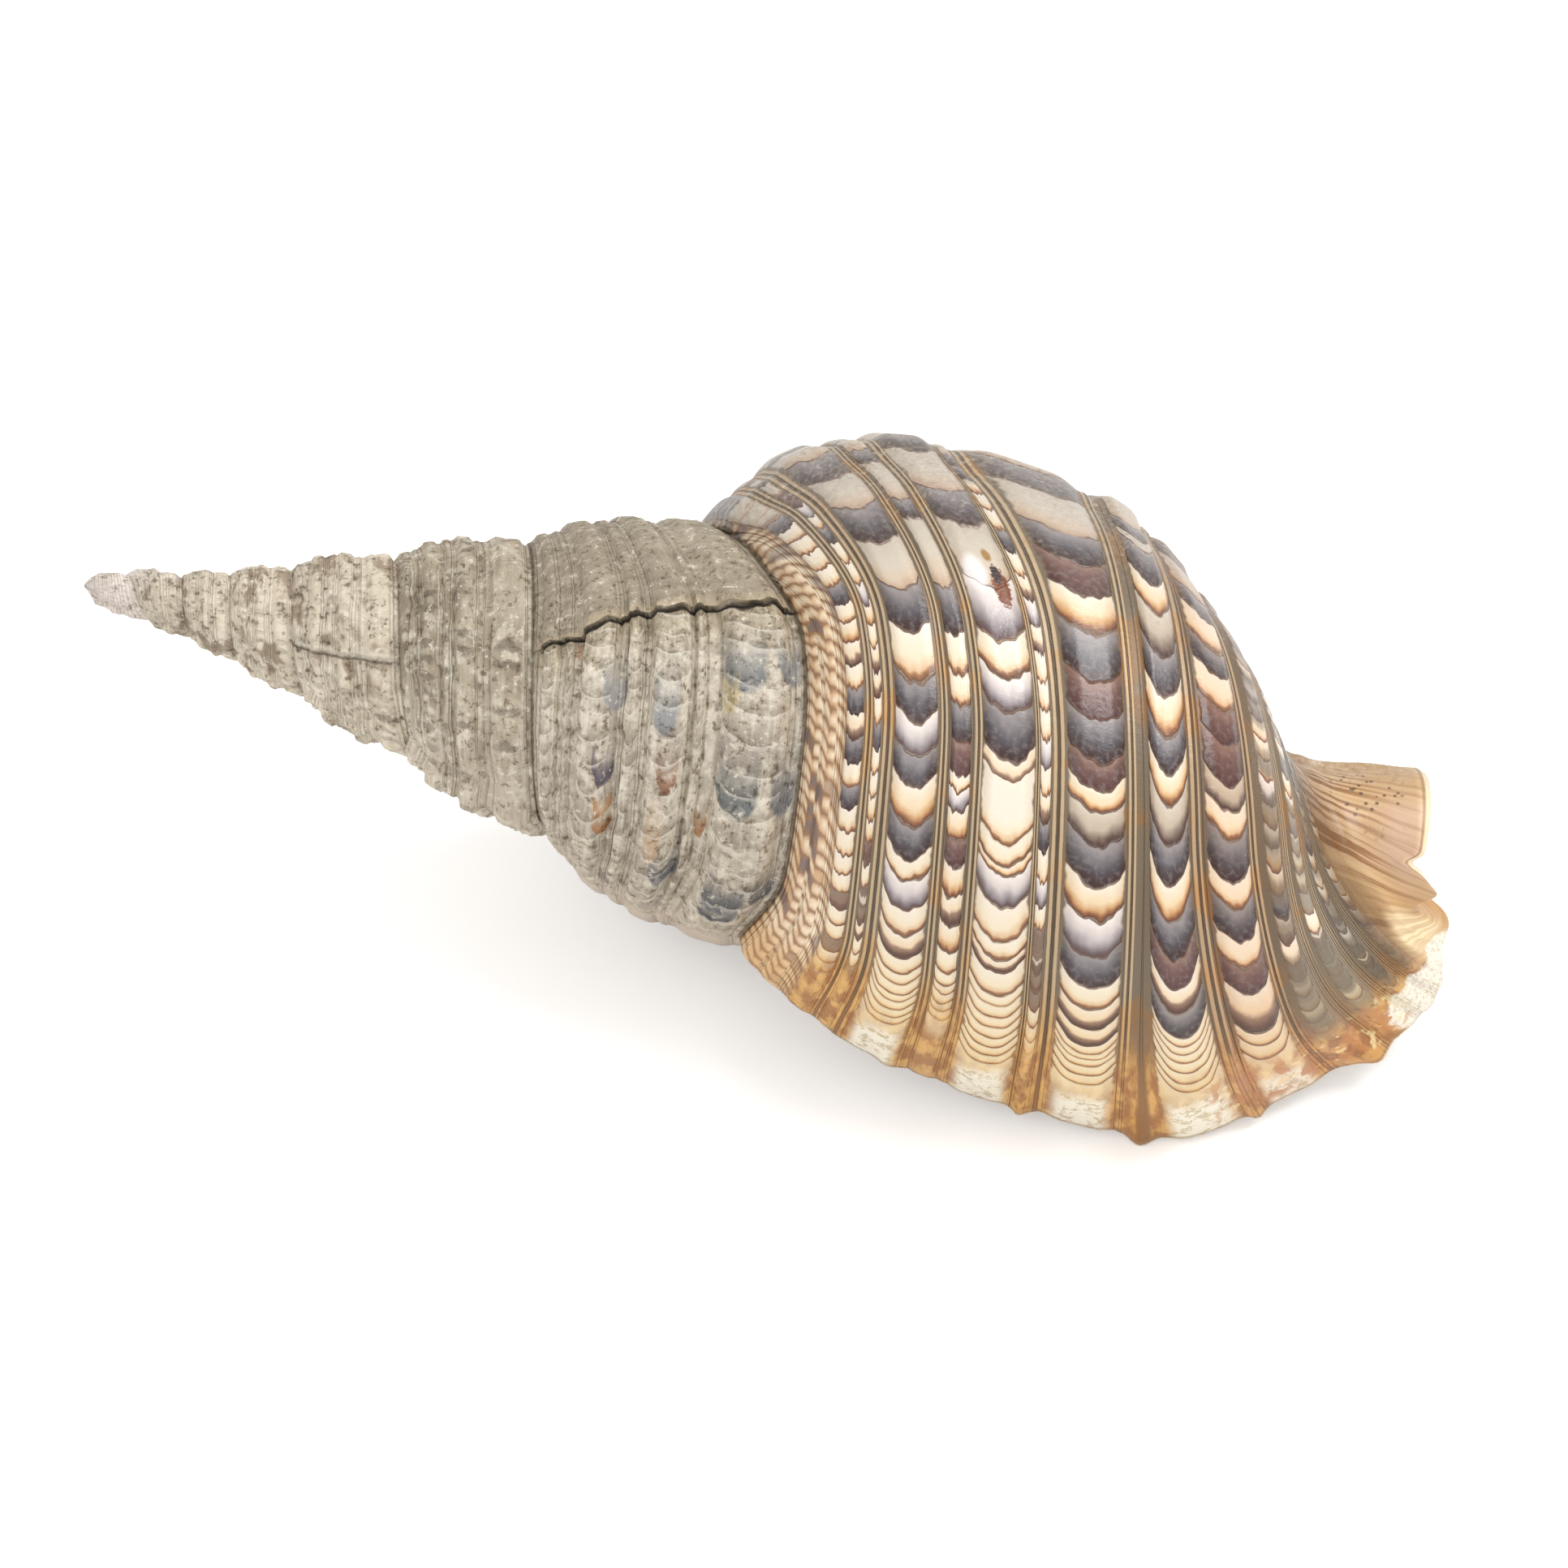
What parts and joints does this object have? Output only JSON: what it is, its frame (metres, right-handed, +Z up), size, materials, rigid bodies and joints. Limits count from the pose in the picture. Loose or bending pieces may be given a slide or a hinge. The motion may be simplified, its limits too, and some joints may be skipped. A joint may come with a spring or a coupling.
{
  "type": "triton shell",
  "caption": "Large spiral sea shell with ribbed whorls, old lip ridges, a flared scalloped lip and an open canal; lies mouth down as a natural object or decoration.",
  "frame": {"origin": "centre of the shell's footprint box, on the ground it rests on", "axes": "+X along the shell from the tip of the spire towards the canal, +Z up, the open lip on the -Y side"},
  "size_m": [0.293, 0.1318, 0.1151],
  "materials": {
    "shell_wall": "worn and matte on the spire, glossy towards the lip"
  },
  "bodies": {
    "root": {"triton_shell": "shell_wall"}
  },
  "joints": []
}
